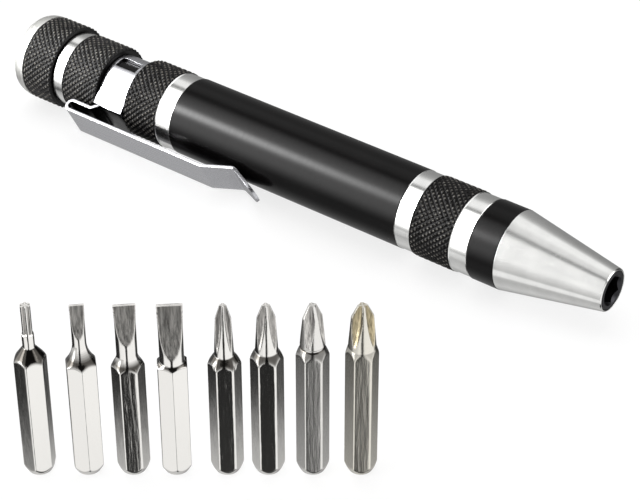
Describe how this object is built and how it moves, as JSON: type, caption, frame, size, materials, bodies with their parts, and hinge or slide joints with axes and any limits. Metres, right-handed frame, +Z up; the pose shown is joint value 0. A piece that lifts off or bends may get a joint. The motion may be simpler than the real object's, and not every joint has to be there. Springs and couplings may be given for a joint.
{
  "type": "pocket screwdriver",
  "caption": "Pen-shaped pocket screwdriver with a spring clip, a free-spinning tail cap, a screw-off nose with a hexagon bit socket, and loose driver bits standing beside it.",
  "frame": {"origin": "centre of the bit socket's mouth at the nose's end face, on the pen's axis", "axes": "+X along the pen, out of the nose; +Z up from the surface that the pen lies on; the clip and the row of bits are on the -Y side"},
  "size_m": [0.1131, 0.0822, 0.028],
  "materials": {
    "black_anodised": "black anodised, with bright rings turned through it",
    "bright_aluminium": "fine turned, bare",
    "spring_steel": "brushed and polished strip",
    "dark_steel": "blackened, machined",
    "plain_steel": "turned",
    "plated_magnet": "nickel plated",
    "plated_steel": "bright nickel plated, ground tips",
    "black_rubber": "moulded",
    "white_acetal": "stamped from sheet"
  },
  "bodies": {
    "handle": {"barrel": "black_anodised", "swivel_pin": "plain_steel", "thrust_washer": "white_acetal"},
    "cap": {"swivel_cap": "black_anodised", "end_button": "bright_aluminium"},
    "nose_carrier": {"nose_o_ring": "black_rubber"},
    "nose_unit": {"nose": "bright_aluminium", "bit_socket": "dark_steel", "magnet": "plated_magnet"},
    "clip_band": {"clip_ring": "spring_steel"},
    "clip_spring": {"clip_arm": "spring_steel"},
    "six_lobe_bit": {"bit_six_lobe": "plated_steel"},
    "small_slot_bit": {"bit_slot_small": "plated_steel"},
    "medium_slot_bit": {"bit_slot_medium": "plated_steel"},
    "large_slot_bit": {"bit_slot_large": "plated_steel"},
    "small_cross_bit": {"bit_cross_small": "plated_steel"},
    "medium_cross_bit": {"bit_cross_medium": "plated_steel"},
    "large_cross_bit": {"bit_cross_large": "plated_steel"},
    "extra_cross_bit": {"bit_cross_extra": "plated_steel"}
  },
  "joints": [
    {"name": "cap_spin", "type": "hinge", "parent": "handle", "child": "cap", "pos_m": [-0.1085, 0, 0], "axis": [1, 0, 0], "continuous": true},
    {"name": "nose_travel", "type": "slide", "parent": "handle", "child": "nose_carrier", "axis": [1, 0, 0], "range_m": [0, 0.012]},
    {"name": "nose_unscrew", "type": "hinge", "parent": "nose_carrier", "child": "nose_unit", "pos_m": [-0.0216, 0, 0], "axis": [1, 0, 0], "range_deg": [0, 4320]},
    {"name": "clip_swivel", "type": "hinge", "parent": "handle", "child": "clip_band", "pos_m": [-0.09195, 0, 0], "axis": [1, 0, 0], "continuous": true},
    {"name": "clip_flex", "type": "hinge", "parent": "clip_band", "child": "clip_spring", "pos_m": [-0.09958, -0.00695, -0.00359], "axis": [0, 0.4587, -0.8886], "range_deg": [0, 5], "stiffness_Nm_per_rad": 1, "springref_deg": -2.29},
    {"name": "lift_six_lobe", "type": "slide", "parent": "handle", "child": "six_lobe_bit", "axis": [0, 0, 1], "range_m": [0, 0.04]},
    {"name": "lift_slot_small", "type": "slide", "parent": "handle", "child": "small_slot_bit", "axis": [0, 0, 1], "range_m": [0, 0.04]},
    {"name": "lift_slot_medium", "type": "slide", "parent": "handle", "child": "medium_slot_bit", "axis": [0, 0, 1], "range_m": [0, 0.04]},
    {"name": "lift_slot_large", "type": "slide", "parent": "handle", "child": "large_slot_bit", "axis": [0, 0, 1], "range_m": [0, 0.04]},
    {"name": "lift_cross_small", "type": "slide", "parent": "handle", "child": "small_cross_bit", "axis": [0, 0, 1], "range_m": [0, 0.04]},
    {"name": "lift_cross_medium", "type": "slide", "parent": "handle", "child": "medium_cross_bit", "axis": [0, 0, 1], "range_m": [0, 0.04]},
    {"name": "lift_cross_large", "type": "slide", "parent": "handle", "child": "large_cross_bit", "axis": [0, 0, 1], "range_m": [0, 0.04]},
    {"name": "lift_cross_extra", "type": "slide", "parent": "handle", "child": "extra_cross_bit", "axis": [0, 0, 1], "range_m": [0, 0.04]}
  ],
  "couplings": [
    {"joint": "nose_unscrew", "follows": "nose_travel", "rad_per_m": 6283.2}
  ]
}
